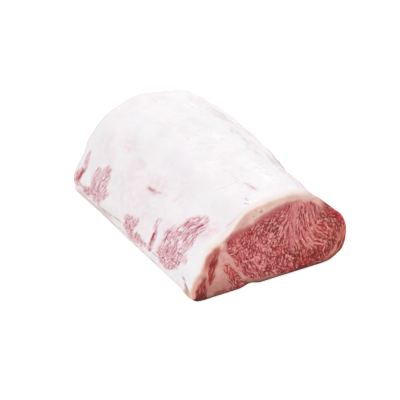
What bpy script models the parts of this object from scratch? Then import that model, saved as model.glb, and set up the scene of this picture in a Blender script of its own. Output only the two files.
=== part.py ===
"""Half of a raw beef sirloin, boned and trimmed, lying on its bone side with its fat cap up.

Metres, +Z up. X runs across the joint from the thin flank side to the thick chine side,
and Y along the loin from the front cut to the back cut. The origin is on the board, under
the middle of the joint. The fat is one solid, and every muscle that shows at the cut is
a solid of its own that runs through it from cut to cut.
"""

import math

import bmesh
import bpy
import numpy as np

MM = 0.001

# Driving sizes
LENGTH = 264 * MM
GROWTH_WIDE = 1.105  # the back cut against the front cut, across
GROWTH_HIGH = 1.10  # and in height
SEAM = 0.3 * MM  # between a muscle and the fat it lies in
RIM_ROUND = 3.0 * MM  # radius of the worn edge round each cut
RIM_AT_BOARD = 0.35  # how much of it is left where the joint is pressed on the board
RIM_FULL_HEIGHT = 22 * MM
CUT_DOME = 2.0 * MM  # how far the middle of a cut stands out
NECK = 7.0 * MM  # how far the chine side draws in behind the front cut
NECK_STARTS, NECK_FULL = 0 * MM, 30 * MM  # from the front cut
NECK_FADES, NECK_ENDS = 95 * MM, 165 * MM
NECK_INNER, NECK_OUTER = 105 * MM, 165 * MM  # across: nothing moves inside the first
COVERED_BY = 0.12  # share of the length by which fat covers the chine edge of the eye
LUMP = 0.7 * MM  # height of the soft waves in the fat
LUMP_STARTS, LUMP_FULL = 9 * MM, 39 * MM  # above the board
LUMP_WAVES = (  # for a turn of one radian: mm across, up and along, then the phase and the share
    (17, math.inf, 41, 0.0, 1.0),
    (math.inf, -19, 23, 1.3, 1.0),
    (9, 9, -15, 0.0, 0.6),
)

# Fineness of the faceted solids
RIM_POINTS = 84
EYE_POINTS, MUSCLE_POINTS = 48, 30
SPANS = 14  # between the cuts
ROUND_STEPS = 3  # across the worn edge
CAP_RINGS = 4  # from the edge to the middle of a cut
SPLINE_STEPS = 24  # between two stations of an outline
PAST_THE_CUT = 12 * MM  # muscles are lofted this much too long, then trimmed by the cuts
MUSCLE_SHARES = (0, 0.06, 0.12, 0.24, 0.37, 0.5, 0.63, 0.81, 1)  # of the length, at a muscle's rings

# The outline of the joint, station by station, as (across, up) at the front cut and at
# the back cut, in millimetres from the flank's foot. The board presses flat whatever
# would hang below it.
OUTLINE = (
    ((4, -1), (-19, -1)),  # foot of the flank
    ((-8.5, 5), (-28, 6)),
    ((-5, 16), (-31, 23)),
    ((2, 34), (-28, 41)),
    ((9, 51), (-18, 60)),
    ((20, 67), (-6, 80)),  # shoulder of the fat cap
    ((38, 81), (9, 98)),
    ((56, 99), (29, 110)),
    ((80, 104.5), (55, 117.5)),
    ((104, 107.5), (82, 117.5)),  # crest
    ((128, 102.5), (110, 110.5)),
    ((150, 87.5), (136, 98)),
    ((170, 69), (160, 80)),  # the fat thins out on the chine side
    ((185, 53.5), (180, 61)),
    ((191, 37), (191, 39)),
    ((188, 16), (188, 17)),
    ((176, 4.5), (177, 5)),
    ((152, -1), (153, -1)),  # underside of the eye
    ((84, -1), (70, -1)),
    ((64, 3.5), (47, 3.5)),  # groove between eye and flank
    ((46, -1), (27, -1)),
)
FLANK_EDGE, CHINE_EDGE = -9.0, 191.0  # of the front cut, across, in millimetres

# The muscles at the cuts. What runs outside the joint's outline lies bare there.
EYE_FRONT = (
    (33, 60), (33, 70), (40, 75.5), (56, 78), (73, 84.5), (92, 91), (112, 93), (130, 90.5),
    (143, 88), (155, 97), (180, 80), (202, 56), (190, 45), (183, 40), (179, 28),
    (172, 16), (162, 7), (150, -6), (124, -4), (108, 3), (90, 6), (75, 9), (65, 8), (55, 18),
    (45, 33), (37.5, 49),
)
EYE_BEHIND = EYE_FRONT[:7] + ((130, 90), (145, 86), (160, 74.5), (176, 60.5)) + EYE_FRONT[11:]
EYE_BACK = (
    (16, 66), (16, 77), (24, 84), (42, 86), (61, 93), (82, 100), (104, 102), (124, 98.5),
    (141, 89), (158, 77.5), (175, 63.5), (202, 60), (190, 50), (182, 44), (177, 31),
    (170, 18), (159, 8), (146, -6), (117, -4), (99, 3), (79, 7), (63, 10), (52, 9), (41, 20),
    (30, 36), (21, 54),
)
CHINE = (
    (170, 52), (186, 47.5), (201, 47), (204, 28), (200, 4), (184, -9), (152, -9),
    (146, 8), (160, 22),
)
FLANK = (
    (12.5, 17), (10.8, 26), (11.3, 38), (14.2, 50), (19, 60), (25.8, 67), (24.3, 57), (22.5, 48),
    (20.7, 36), (16.8, 25),
)
TAIL = (
    (20, 1.5), (30, 4), (38, 8), (36.5, 14), (34, 22), (28.5, 37), (31, 39.5), (36, 37.5),
    (46, 26.5), (54.5, 14), (61.5, 3.5), (58, -7), (24, -7),
)
SKIRT = (
    (-3, -7), (-4.8, 5), (-1.8, 17), (2.8, 30), (7, 39), (8.6, 33), (8.4, 20), (9.2, 8), (9, -7),
)

FAT_WHITE = (0.90, 0.87, 0.86, 1)
EYE_PINK = (0.48, 0.13, 0.13, 1)
TAIL_PINK = (0.45, 0.13, 0.12, 1)
CHINE_RED = (0.42, 0.13, 0.11, 1)
FLANK_RED = (0.40, 0.09, 0.08, 1)
SKIRT_RED = (0.34, 0.07, 0.07, 1)
FAT_ROUGHNESS, LEAN_ROUGHNESS = 0.45, 0.38


def clear_scene():
    for obj in list(bpy.data.objects):
        bpy.data.objects.remove(obj)


def new_collection(name):
    made = bpy.data.collections.new(name)
    bpy.context.scene.collection.children.link(made)
    return made


def give_material(obj, colour, roughness):
    material = bpy.data.materials.new(f"{obj.name}_surface")
    material.use_nodes = True
    shader = material.node_tree.nodes["Principled BSDF"]
    shader.inputs["Base Color"].default_value = colour
    shader.inputs["Roughness"].default_value = roughness
    shader.inputs["Metallic"].default_value = 0.0
    obj.data.materials.append(material)


def smooth_ring(stations, count):
    """count points, evenly spaced, on a closed Catmull-Rom curve through the stations."""
    here = np.array(stations, float)
    before, after, beyond = np.roll(here, 1, 0), np.roll(here, -1, 0), np.roll(here, -2, 0)
    t = np.linspace(0, 1, SPLINE_STEPS, endpoint=False)[:, None, None]
    curve = here + t / 2 * (after - before)
    curve = curve + t**2 / 2 * (2 * before - 5 * here + 4 * after - beyond)
    curve = curve + t**3 / 2 * (3 * here - before - 3 * after + beyond)
    fine = curve.transpose(1, 0, 2).reshape(-1, 2)
    fine = np.vstack([fine, fine[:1]])
    run = np.concatenate([[0], np.cumsum(np.linalg.norm(np.diff(fine, axis=0), axis=1))])
    at = np.linspace(0, run[-1], count, endpoint=False)
    return np.stack([np.interp(at, run, fine[:, i]) for i in (0, 1)], axis=1)


def pushed_out(ring, distance):
    """The ring moved outwards by a distance. Rings run clockwise, up over the flank side first."""
    along = np.roll(ring, -1, 0) - np.roll(ring, 1, 0)
    along /= np.linalg.norm(along, axis=1)[:, None]
    return ring + distance * np.stack([-along[:, 1], along[:, 0]], axis=1)


def eased(value, start, end):
    """0 before the start, 1 after the end, smooth between."""
    share = np.clip((value - start) / (end - start), 0, 1)
    return share * share * (3 - 2 * share)


def necked(ring, depth):
    """The ring with its chine side drawn in where the joint narrows behind the front cut."""
    y = depth * LENGTH
    pull = NECK * eased(y, NECK_STARTS, NECK_FULL) * (1 - eased(y, NECK_FADES, NECK_ENDS))
    moved = ring.copy()
    moved[:, 0] -= pull * eased(ring[:, 0], NECK_INNER, NECK_OUTER)
    return moved


def lumps(ring, y):
    """How far the fat stands out at each point of a section: long soft waves, none underneath."""
    across, up = ring.T / MM
    height = np.zeros(len(ring))
    for per_across, per_up, per_along, phase, share in LUMP_WAVES:
        height += share * np.sin(across / per_across + up / per_up + y / MM / per_along + phase)
    return LUMP * height * eased(ring[:, 1], LUMP_STARTS, LUMP_FULL)


def section(depth):
    """The joint's outline at a share of its length, 0 at the front cut and 1 at the back."""
    front = smooth_ring([pair[0] for pair in OUTLINE], RIM_POINTS)
    back = smooth_ring([pair[1] for pair in OUTLINE], RIM_POINTS)
    ring = necked((front + (back - front) * depth) * MM, depth)
    ring = pushed_out(ring, lumps(ring, depth * LENGTH)[:, None])
    ring[:, 1] = np.maximum(ring[:, 1], 0)
    return ring


def carried(stations, depth):
    """Stations drawn at the front cut, carried along the joint as the joint widens."""
    across, up = np.array(stations, float).T
    back_edge = CHINE_EDGE - (CHINE_EDGE - FLANK_EDGE) * GROWTH_WIDE
    edge = FLANK_EDGE + (back_edge - FLANK_EDGE) * depth
    across = edge + (across - FLANK_EDGE) * (1 + (GROWTH_WIDE - 1) * depth)
    return np.stack([across, up * (1 + (GROWTH_HIGH - 1) * depth)], axis=1)


def eye_stations(depth):
    """The eye lies bare at the chine edge of the front cut, and under thin fat behind it."""
    front, behind, back = (np.array(ring, float) for ring in (EYE_FRONT, EYE_BEHIND, EYE_BACK))
    cover = eased(depth, 0, COVERED_BY)
    near = front + (behind - front) * cover
    return near + (back - near) * depth


def end_cap(ring, y, outward):
    """Rings that close a cut, from its edge to a last ring drawn together at its middle."""
    middle = ring.mean(axis=0)
    rings = []
    for step in range(1, CAP_RINGS + 1):
        share = 1 - step / CAP_RINGS
        rings.append((middle + (ring - middle) * share, y + outward * CUT_DOME * (1 - share**2)))
    return rings


def worn_edge(depth_of):
    """The rings across the worn edge of a cut, from the cut inwards."""
    rings = []
    for step in range(ROUND_STEPS):
        angle = math.pi / 2 * step / ROUND_STEPS
        y = depth_of(RIM_ROUND * (1 - math.cos(angle)))
        ring = section(y / LENGTH)
        pressed = RIM_AT_BOARD + (1 - RIM_AT_BOARD) * eased(ring[:, 1], 0, RIM_FULL_HEIGHT)
        inwards = RIM_ROUND * (1 - math.sin(angle)) * pressed
        rings.append((pushed_out(ring, -inwards[:, None]), y))
    return rings


def joint_rings():
    """Every section of the joint from the middle of the front cut to the middle of the back."""
    front = worn_edge(lambda inwards: inwards)
    back = worn_edge(lambda inwards: LENGTH - inwards)[::-1]
    between = []
    for step in range(SPANS + 1):
        y = RIM_ROUND + (LENGTH - 2 * RIM_ROUND) * step / SPANS
        between.append((section(y / LENGTH), y))
    front_cap = end_cap(front[0][0], 0, -1)[::-1]
    back_cap = end_cap(back[-1][0], LENGTH, 1)
    return front_cap + front + between + back + back_cap


def across_middle(rings):
    """The middle of the joint's width, which the origin lies under."""
    across = np.concatenate([ring[:, 0] for ring, _ in rings])
    return (across.min() + across.max()) / 2


def loft(name, rings, middle, collection):
    """A closed mesh through rings of (points, y)."""
    bm = bmesh.new()
    rows = []
    for ring, y in rings:
        rows.append([bm.verts.new((x - middle, y - LENGTH / 2, z)) for x, z in ring])
    for low, high in zip(rows, rows[1:]):
        for i in range(len(low)):
            j = (i + 1) % len(low)
            bm.faces.new((low[i], low[j], high[j], high[i]))
    bm.faces.new(rows[0][::-1])
    bm.faces.new(rows[-1])
    bmesh.ops.triangulate(bm, faces=bm.faces, quad_method="FIXED")
    bmesh.ops.remove_doubles(bm, verts=bm.verts, dist=0.001 * MM)
    bmesh.ops.recalc_face_normals(bm, faces=bm.faces)
    mesh = bpy.data.meshes.new(name)
    bm.to_mesh(mesh)
    bm.free()
    obj = bpy.data.objects.new(name, mesh)
    collection.objects.link(obj)
    return obj


def muscle_rings(stations_at, points, grow):
    """A muscle's rings from past the front cut to past the back cut, grown by a distance."""
    past = PAST_THE_CUT / LENGTH
    rings = []
    for share in MUSCLE_SHARES:
        ring = smooth_ring(stations_at(share), points) * MM
        ring = pushed_out(necked(ring, share), grow)
        if share == MUSCLE_SHARES[0]:
            rings.append((ring, -past * LENGTH))
        rings.append((ring, share * LENGTH))
    rings.append((ring, (1 + past) * LENGTH))
    return rings


def cut(target, operation, tool):
    """Cuts or trims a mesh with another, which becomes a hidden cutter."""
    tool.hide_render = True
    tool.display_type = "WIRE"
    modifier = target.modifiers.new(f"{operation.lower()}_{tool.name}", "BOOLEAN")
    modifier.operation = operation
    modifier.solver = "EXACT"
    modifier.object = tool


def main():
    clear_scene()
    joint = new_collection("beef_sirloin")
    cutters = new_collection("cutters")

    block = joint_rings()
    middle = across_middle(block)
    fat_cap = loft("fat_cap", block, middle, joint)
    give_material(fat_cap, FAT_WHITE, FAT_ROUGHNESS)
    trimmer = loft("joint_trimmer", block, middle, cutters)
    muscles = (
        ("eye_muscle", eye_stations, EYE_POINTS, EYE_PINK),
        ("chine_muscle", lambda depth: carried(CHINE, depth), MUSCLE_POINTS, CHINE_RED),
        ("flank_muscle", lambda depth: carried(FLANK, depth), MUSCLE_POINTS, FLANK_RED),
        ("tail_muscle", lambda depth: carried(TAIL, depth), MUSCLE_POINTS, TAIL_PINK),
        ("skirt_muscle", lambda depth: carried(SKIRT, depth), MUSCLE_POINTS, SKIRT_RED),
    )
    rooms = {}
    for name, stations_at, points, colour in muscles:
        muscle = loft(name, muscle_rings(stations_at, points, 0), middle, joint)
        give_material(muscle, colour, LEAN_ROUGHNESS)
        cut(muscle, "INTERSECT", trimmer)
        rooms[name] = loft(f"{name}_room", muscle_rings(stations_at, points, SEAM), middle, cutters)
        cut(fat_cap, "DIFFERENCE", rooms[name])
        if name == "chine_muscle":
            cut(muscle, "DIFFERENCE", rooms["eye_muscle"])


main()
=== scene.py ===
"""The look of the raw beef sirloin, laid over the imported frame.

Places on the joint are in millimetres from the flank foot of the front cut: x across to the chine edge, y back along
the loin, z up. Every piece is cut from one block, as a butcher would leave it: the outer skin, sliced straight at both
ends, and parted along the muscles.
"""
import math

import bmesh
import bpy
import numpy as np
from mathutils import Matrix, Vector
from mathutils.bvhtree import BVHTree
from mathutils.kdtree import KDTree


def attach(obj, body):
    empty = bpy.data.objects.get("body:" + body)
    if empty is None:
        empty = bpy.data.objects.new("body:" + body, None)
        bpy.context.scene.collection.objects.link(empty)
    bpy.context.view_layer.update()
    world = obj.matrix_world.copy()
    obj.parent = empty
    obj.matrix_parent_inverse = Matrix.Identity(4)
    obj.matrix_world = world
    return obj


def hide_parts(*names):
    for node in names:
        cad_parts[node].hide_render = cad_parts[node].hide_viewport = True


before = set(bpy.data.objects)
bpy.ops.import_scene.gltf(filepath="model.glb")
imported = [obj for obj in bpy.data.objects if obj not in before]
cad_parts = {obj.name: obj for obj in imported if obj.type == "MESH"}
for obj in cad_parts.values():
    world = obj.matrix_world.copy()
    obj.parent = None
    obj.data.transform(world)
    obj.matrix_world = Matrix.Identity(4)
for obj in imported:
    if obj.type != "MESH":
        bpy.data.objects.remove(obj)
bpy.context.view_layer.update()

FOOT = np.array((-80.953, -132.0, 0.0))  # where the flank foot stands in the frame
LENGTH = 264.0  # between the two cuts
GIRTH = 534.0  # round the skin
MIDDLE = (80.0, 44.0)  # a point inside every cross section
FAR_OUT = 300.0  # well outside the joint, from there: the frame's skin is read inwards from this far
ANGLES = 720  # in so many directions
LEVEL_STEP = 6.35  # and at levels so far apart along the loin
LEANS = ("eye_muscle", "chine_muscle", "flank_muscle", "tail_muscle", "skirt_muscle")

ROUND_POINTS = 352  # round the skin
SKIN_STEP = 1.6  # along the skin
CUT_STEP = 0.62  # grid on the two cuts
RIM = 3.0  # how far the cuts' edges are worn round
RIM_AT_BOARD = 0.25  # share of that where the joint stands
BEVEL = 0.2929  # share of the rim that is bevelled
CUT_DOME = 2.0  # how far the cuts bulge
SLACK = 0.15  # half the gap that the frame keeps between two solids
OVERHANG = 9.0  # how far the muscles' tubes run out past the cuts
BARE_REACH = 5.0  # and out through the skin where they lie bare
CUT_POINTS, SKIN_POINTS, SEAM_POINTS = 1800, 1400, 500  # on one outline of a cut, the skin and a muscle
SHARP = 42  # degrees between two faces above which their edge stays sharp
UNDER = 0.0006  # how far the floor lies below the joint, in metres


# ---------------------------------------------------------------- small tools


def soften(a, sigma, axis=0, wrap=False):
    """Gaussian blur of an array along one axis, sigma in cells."""
    if sigma < 0.05:
        return a
    reach = int(4 * sigma) + 1
    kernel = np.exp(-0.5 * (np.arange(-reach, reach + 1) / sigma) ** 2)
    kernel /= kernel.sum()
    pad = [(0, 0)] * a.ndim
    pad[axis] = (reach, reach)
    b = np.pad(a, pad, mode="wrap" if wrap else "edge")
    return np.apply_along_axis(lambda v: np.convolve(v, kernel, "valid"), axis, b)


def smooth(a, sigma, axis=0, wrap=False):
    """A blur that keeps the broad shape: it does not draw corners in as a plain one does."""
    once = soften(a, sigma, axis, wrap)
    return 2 * once - soften(once, sigma, axis, wrap)


def ease(x, low, high):
    """Rises softly from 0 at low to 1 at high."""
    t = np.clip((x - low) / (high - low), 0.0, 1.0)
    return t * t * (3 - 2 * t)


def fade(x, low, high):
    return 1 - ease(x, low, high)


def bell(x, middle, half):
    return np.exp(-(((x - middle) / half) ** 2))


def mound(x, z, middle, half):
    """1 at the middle, falling off over half sizes across and up."""
    return np.exp(-(((x - middle[0]) / half[0]) ** 2 + ((z - middle[1]) / half[1]) ** 2))


def together(*values):
    return np.stack(values, axis=-1)


def read_grid(grid, u, v, goes_round=False):
    """A grid's values between its cells, at columns u and rows v."""
    rows_in, columns_in = grid.shape
    u = u % columns_in if goes_round else np.clip(u, 0, columns_in - 1.001)
    v = np.clip(v, 0, rows_in - 1.001)
    i, j = u.astype(int) % columns_in, v.astype(int)
    k = (i + 1) % columns_in
    fu, fv = u - u.astype(int), v - j
    return (grid[j, i] * (1 - fu) + grid[j, k] * fu) * (1 - fv) + (grid[j + 1, i] * (1 - fu) + grid[j + 1, k] * fu) * fv


def between_rows(wanted, levels, table):
    """A table's rows, read at the wanted levels between its own."""
    return together(*(np.interp(wanted, levels, table[:, j]) for j in range(table.shape[1])))


def tree_of(points):
    tree = KDTree(len(points))
    for k, q in enumerate(points):
        tree.insert(q, k)
    tree.balance()
    return tree


def read_out(things, title, kind=float, width=1):
    values = np.empty(len(things) * width, dtype=kind)
    things.foreach_get(title, values)
    return values


def places_of(mesh):
    """A mesh's corners in millimetres from the flank foot."""
    return read_out(mesh.vertices, "co", width=3).reshape(-1, 3) * 1000 - FOOT


def spaced_ring(points, shares):
    """Points at these shares of the way round a closed line."""
    closed = np.vstack([points, points[:1]])
    run = np.concatenate([[0], np.cumsum(np.linalg.norm(np.diff(closed, axis=0), axis=1))])
    return between_rows(shares * run[-1], run, closed)


def even_ring(points, count):
    return spaced_ring(points, np.arange(count) / count)


def outward(ring):
    """Unit normals of a counter-clockwise ring in the x-z plane."""
    d = np.roll(ring, -1, axis=-2) - np.roll(ring, 1, axis=-2)
    n = together(d[..., 1], -d[..., 0])
    return n / (np.linalg.norm(n, axis=-1, keepdims=True) + 1e-9)


# ---------------------------------------------------------------- reading the frame


def node_shape(name):
    """A node's corners in millimetres, and its faces."""
    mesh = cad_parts[name].data
    return places_of(mesh), [tuple(p.vertices) for p in mesh.polygons]


def frame_tree():
    points, faces = [], []
    for name in ("fat_cap",) + LEANS:
        p, f = node_shape(name)
        faces += [tuple(i + len(points) for i in face) for face in f]
        points += [tuple(v) for v in p]
    return BVHTree.FromPolygons(points, faces)


def skin_columns():
    """Where the columns of the skin lie, as shares of the girth: closest over the back fat and the flank."""
    share = np.linspace(0, 1, 4001)
    density = 1 + 0.75 * ease(share, 0.40, 0.46) * fade(share, 0.80, 0.86)
    run = np.concatenate([[0], np.cumsum(density[:-1])])
    return np.interp(np.arange(ROUND_POINTS) / ROUND_POINTS, run / run[-1], share)


def skin_rings():
    """The outer skin as a grid of points: rows along the loin, columns round it, with each row's y."""
    tree = frame_tree()
    levels = np.arange(5.0, LENGTH - 4.0, LEVEL_STEP)
    angles = np.radians(-90 + np.arange(ANGLES) * 360 / ANGLES)
    reach = np.zeros((len(levels), len(angles)))
    for i, y in enumerate(levels):
        for j, a in enumerate(angles):
            way = Vector((math.cos(a), 0, math.sin(a)))
            start = Vector((MIDDLE[0], y, MIDDLE[1])) + way * FAR_OUT
            reach[i, j] = FAR_OUT - tree.ray_cast(start, -way)[3]
    reach = smooth(reach, 6.0, 1, wrap=True)
    body = np.arange(RIM + 1.5, LENGTH - RIM - 1.4, SKIN_STEP)
    near = RIM * np.array([-1.35, 0.1, 0.29, 0.38, 0.5, 0.66, 0.84, 1.0])
    rows = np.concatenate([near, body, LENGTH - near[::-1]])
    fine = np.arange(-10.0, LENGTH + 10.0, 1.0)
    wide = between_rows(fine, levels, reach)
    for end, level, inner in (
        (fine < levels[0], levels[0], levels[0] + 12),
        (fine > levels[-1], levels[-1], levels[-1] - 12),
    ):
        a, b = between_rows(level, levels, reach), between_rows(inner, levels, reach)
        wide[end] = a + (a - b) * ((fine[end, None] - level) / (level - inner))
    wide = soften(wide, 5.0, 0)
    grid, columns = [], skin_columns()
    for reached in between_rows(rows, fine, wide):
        ring = together(MIDDLE[0] + reached * np.cos(angles), MIDDLE[1] + reached * np.sin(angles))
        grid.append(spaced_ring(ring, columns))
    return np.array(grid), rows


def section(points, faces, y, near):
    """The outline of a node at one y, as an evenly spaced counter-clockwise ring that starts next to the point near."""
    bm = bmesh.new()
    verts = [bm.verts.new(p) for p in points]
    for f in faces:
        bm.faces.new([verts[i] for i in f])
    bmesh.ops.remove_doubles(bm, verts=bm.verts[:], dist=0.001)
    everything = bm.verts[:] + bm.edges[:] + bm.faces[:]
    cut = bmesh.ops.bisect_plane(bm, geom=everything, plane_co=(0, y, 0), plane_no=(0, 1, 0))
    links = {}
    for e in cut["geom_cut"]:
        if isinstance(e, bmesh.types.BMEdge):
            a, b = e.verts
            links.setdefault(a, []).append(b)
            links.setdefault(b, []).append(a)
    best, seen = [], set()
    for v in list(links):
        if v in seen:
            continue
        loop, before, here = [], None, v
        while here is not None and here not in seen:
            seen.add(here)
            loop.append((here.co.x, here.co.z))
            onward = [w for w in links[here] if w is not before and w not in seen]
            before, here = here, (onward[0] if onward else None)
        if len(loop) > len(best):
            best = loop
    bm.free()
    ring = np.array(best)
    x, z = ring[:, 0], ring[:, 1]
    if np.sum(x * np.roll(z, -1) - np.roll(x, -1) * z) < 0:
        ring = ring[::-1]
    first = np.argmin(np.hypot(*(ring - near).T)) if near is not None else np.argmax(ring[:, 1])
    return np.roll(ring, -first, axis=0)


def lean_rings(name, count, levels):
    """A muscle as rings of points from one cut to the other."""
    points, faces = node_shape(name)
    points = [tuple(p) for p in points]
    rings, near = [], None
    for y in levels:
        ring = section(points, faces, y, near)
        rings.append(even_ring(ring, count))
        near = rings[-1][0]
    return np.array(rings)


# ---------------------------------------------------------------- building solids


def flat_grid(across, up):
    """A flat grid, and the column and row of each of its corners."""
    bm = bmesh.new()
    bmesh.ops.create_grid(bm, x_segments=across, y_segments=up, size=0.5)
    bm.verts.ensure_lookup_table()
    share = np.array([v.co[:2] for v in bm.verts]) + 0.5
    return bm, np.rint(share[:, 0] * across).astype(int), np.rint(share[:, 1] * up).astype(int)


def solid(name, rings, rows):
    """A closed solid through rings of points (rows, round, x-z), its two ends shut with one face each."""
    count = rings.shape[1]
    bm, col, row = flat_grid(count, len(rings) - 1)
    for v, i, j in zip(bm.verts, row, col):
        x, z = rings[i, j % count]
        v.co = (x, rows[i], z)
    bmesh.ops.remove_doubles(bm, verts=[v for v, j in zip(bm.verts, col) if j in (0, count)], dist=0.0001)
    bmesh.ops.holes_fill(bm, edges=[e for e in bm.edges if e.is_boundary], sides=0)
    bmesh.ops.recalc_face_normals(bm, faces=bm.faces[:])
    return kept(name, bm)


def slab(name, xs, zs, front, back):
    """A block with one fine grid for each cut: front and back give y over the grid."""
    bm, col, row = flat_grid(len(xs) - 1, len(zs) - 1)
    for v, i, j in zip(bm.verts, row, col):
        v.co = (xs[j], front[i, j], zs[i])
    grown = bmesh.ops.extrude_face_region(bm, geom=bm.faces[:], use_keep_orig=True)
    for v in grown["geom"]:
        if isinstance(v, bmesh.types.BMVert):
            j = int(round((v.co.x - xs[0]) / (xs[1] - xs[0])))
            i = int(round((v.co.z - zs[0]) / (zs[1] - zs[0])))
            v.co.y = back[i, j]
    bmesh.ops.recalc_face_normals(bm, faces=bm.faces[:])
    return kept(name, bm)


def kept(name, bm):
    """Writes a bmesh in millimetres to an object in the frame's metres."""
    for v in bm.verts:
        v.co = (Vector(v.co) + Vector(FOOT)) * 0.001
    mesh = bpy.data.meshes.new(name)
    bm.to_mesh(mesh)
    bm.free()
    obj = bpy.data.objects.new(name, mesh)
    bpy.context.scene.collection.objects.link(obj)
    return obj


def parted(name, base, steps):
    """A copy of base after the Booleans in steps, each (operation, object)."""
    obj = bpy.data.objects.new(name, base.data.copy())
    bpy.context.scene.collection.objects.link(obj)
    for operation, other in steps:
        m = obj.modifiers.new(operation, "BOOLEAN")
        m.operation, m.object, m.solver = operation, other, "MANIFOLD"
    bpy.context.view_layer.update()
    mesh = bpy.data.meshes.new_from_object(obj.evaluated_get(bpy.context.evaluated_depsgraph_get()))
    obj.modifiers.clear()
    old = obj.data
    obj.data = mesh
    bpy.data.meshes.remove(old)
    mesh.name = name
    return obj


def drop(*objs):
    for o in objs:
        mesh = o.data
        bpy.data.objects.remove(o)
        bpy.data.meshes.remove(mesh)


# ---------------------------------------------------------------- marks on the skin
# Places on the skin are (round, along): round the joint from the middle of the underside, by way of the chine edge,
# the back fat and the flank, and along it from the front cut.

THIN_FAT = (  # outlines within which the trimmed fat is so thin that the flank's lean shows
    (
        (377, 216), (366, 207), (373, 199), (389, 194), (399, 187), (409, 193), (415, 206), (417, 222), (420, 246),
        (411, 240), (402, 228), (389, 223),
    ),
    (
        (406, 78), (388, 73), (375, 68), (369, 60), (358, 55), (348, 46), (341, 38), (345, 32), (354, 32), (364, 31),
        (375, 32), (388, 31), (404, 31), (416, 40), (422, 54), (421, 71), (419, 83),
    ),
    (
        (419, 152), (408, 146), (400, 138), (398, 127), (404, 124), (414, 127), (414, 116), (414, 98), (418, 90),
        (422, 106), (425, 124), (424, 139),
    ),
    ((412, 258), (421, 254), (421, 226), (412, 222), (406, 232), (410, 244)),
)
THIN_HOOKS = (  # from, to, half width at each end
    ((415, 257), (401, 252), 6.2, 5.0), ((401, 252), (387, 248.8), 5.0, 3.0), ((387, 248.8), (371, 246), 3.0, 1.3),
    ((417, 92), (395, 92), 3.4, 2.2), ((395, 92), (379, 92), 2.2, 0.8),
)
BLUSHES = (  # mauve and pink under the fat: middle, half sizes, turn, strength
    ((336, 196), (9, 13), 0, 0.55), ((348, 165), (7, 11), 0, 0.5), ((347, 143), (7, 8), 0, 0.35),
    ((352, 118), (12, 20), 0, 0.5), ((359, 124), (5, 13), -12, 1.3), ((338, 92), (20, 24), 0, 0.25),
    ((380, 150), (34, 44), 0, 0.3), ((352, 225), (20, 20), 0, 0.22), ((392, 100), (30, 60), 0, 0.25),
    ((356, 21), (12, 9), 0, 0.9), ((186, 180), (24, 14), 0, 0.8), ((206, 134), (14, 10), 0, 0.5),
    ((194, 82), (18, 16), 0, 0.8), ((212, 236), (10, 9), 0, 0.4), ((281, 32), (4, 11), 0, 0.9),
)
GLOSS_AND_SHEEN = (  # wet and glossy, their roughness lowered and a sheen painted in as whiter colour: middle, half sizes, turn
    ((238, 212), (12, 26), 0), ((256, 138), (8, 16), -10), ((255, 62), (8, 22), 0), ((252, 38), (8, 12), 5),
    ((186, 198), (10, 10), 0),
)
SHADE_PATCHES = (  # patches on the back painted grey as shade: middle, half sizes, turn, strength
    ((210, 200), (14, 20), 0, 0.6), ((222, 152), (9, 14), 0, 0.55), ((216, 128), (9, 14), 0, 0.55),
    ((225, 98), (9, 18), 0, 0.6), ((180, 212), (14, 12), 0, 0.5),
)
SKIN_LINES = (  # points, half width, red, tan, depth of the groove
    (((362.5, 39), (357, 36.5), (351, 34)), 1.2, 1.3, 0.0, 0.5),
    (((372, 43), (366, 41)), 0.9, 0.7, 0.0, 0.3),
    (((361.5, 136), (360.5, 128), (358, 119)), 1.9, 0.62, 0.0, 0.9),
    (((358, 119), (356, 114), (354, 108)), 1.5, 0.25, 0.1, 0.4),
    (((353, 88), (346, 86), (340, 87)), 0.9, 0.15, 0.0, 0.2),
    (((344, 9), (334, 6), (326, 3)), 1.0, 0.3, 0.0, 0.3),
    (((412, 255.5), (403, 250.5), (391, 248.5)), 2.7, 1.5, 0.0, 0.5),
    (((418, 94), (406, 92.5), (394, 92)), 1.8, 1.3, 0.0, 0.6),
    (((281.6, 46), (280, 34), (281, 18)), 1.3, 0.3, 0.0, 0.6),
    (((289.7, 178), (288, 157), (289.5, 120), (288, 95), (286.4, 76), (283, 52), (281.6, 44)), 0.8, 0.0, 0.3, 0.35),
    (((315.5, 55), (302.6, 48.5), (288, 48), (283, 50)), 0.9, 0.02, 0.4, 0.35),
    (((275, 261), (273.5, 242), (273.5, 223)), 0.9, 0.0, 0.22, 0.5),
    (((317, 213), (303, 203), (294.5, 195), (290, 183)), 0.8, 0.0, 0.1, 0.35),
    (((419, 262), (421, 236), (421.5, 206), (422, 192), (421, 178), (417.5, 160), (419, 143)), 1.3, 0.1, 0.75, 0.5),
    (((420, 98), (420, 84), (424, 60), (424, 44)), 1.2, 0.1, 0.6, 0.4),
    (((424, 230), (424.5, 202), (427, 164), (429, 129), (431, 99), (431, 67), (430, 41)), 1.4, 0.0, 0.55, 0.2),
    (((172, 256), (190, 254.5), (208, 252)), 1.3, 0.6, 0.1, 0.4),
    (((232, 112), (222, 111), (210, 110)), 1.2, 0.05, 0.3, 0.4),
    (((200, 102), (193, 92), (188, 80)), 1.4, 0.05, 0.4, 0.4),
    (((214, 226), (204, 214), (200, 200)), 1.4, 0.0, 0.5, 0.4),
    (((441, 2), (436.5, 9.5), (431, 14.5), (427.5, 18.5), (423.5, 21.5), (419, 28)), 1.7, 0.15, 1.3, 2.0),
)
RIDGE = (  # the long low step where the outer fat was pulled back
    (291, 200), (289.7, 178), (288, 157), (289.5, 120), (288, 95), (286.4, 76), (283, 52), (281.6, 44), (280, 34),
    (281, 16),
)
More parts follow.
